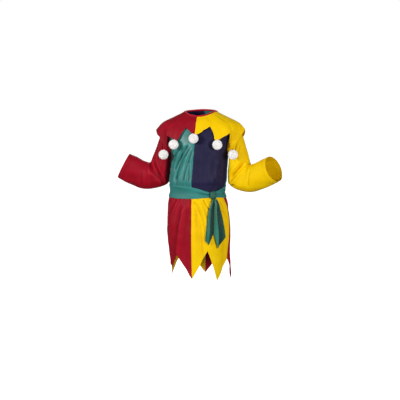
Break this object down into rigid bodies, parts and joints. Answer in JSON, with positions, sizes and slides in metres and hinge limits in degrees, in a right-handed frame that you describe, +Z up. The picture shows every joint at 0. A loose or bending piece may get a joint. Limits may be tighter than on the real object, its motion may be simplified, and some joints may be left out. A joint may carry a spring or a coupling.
{
  "type": "jester dress with sash",
  "caption": "Parti-coloured child's jester dress, filled out as worn: zigzag collar with yarn pompoms, wide sleeves, pointed hem and a knotted sash.",
  "frame": {"origin": "the middle of the neck opening, level with its two sides, where the wearer's shoulders hold the dress up", "axes": "+Z up along the wearer's spine, -Y the way the wearer faces, +X the wearer's left"},
  "size_m": [0.6995, 0.2601, 0.7051],
  "materials": {
    "red": "matte woven polyester",
    "yellow": "matte woven polyester",
    "green": "satin polyester",
    "navy": "matte woven polyester",
    "sash_green": "satin polyester",
    "white_yarn": "cut yarn"
  },
  "bodies": {
    "root": {"bodice_front_right": "green", "bodice_front_left": "navy", "bodice_back_right": "navy", "bodice_back_left": "green", "skirt_front_right": "red", "skirt_front_left": "yellow", "skirt_back_right": "yellow", "skirt_back_left": "red", "sleeve_right": "red", "sleeve_left": "yellow", "collar_right": "red", "collar_left": "yellow", "neck_binding": "red", "sash_band": "sash_green", "sash_knot": "sash_green", "sash_tail_inner": "sash_green", "sash_tail_outer": "sash_green", "pompom_front": "white_yarn", "pompom_chest_left": "white_yarn", "pompom_chest_right": "white_yarn", "pompom_arm_front_left": "white_yarn", "pompom_arm_front_right": "white_yarn", "pompom_arm_back_left": "white_yarn", "pompom_arm_back_right": "white_yarn", "pompom_back_left": "white_yarn", "pompom_back_right": "white_yarn"}
  },
  "joints": []
}
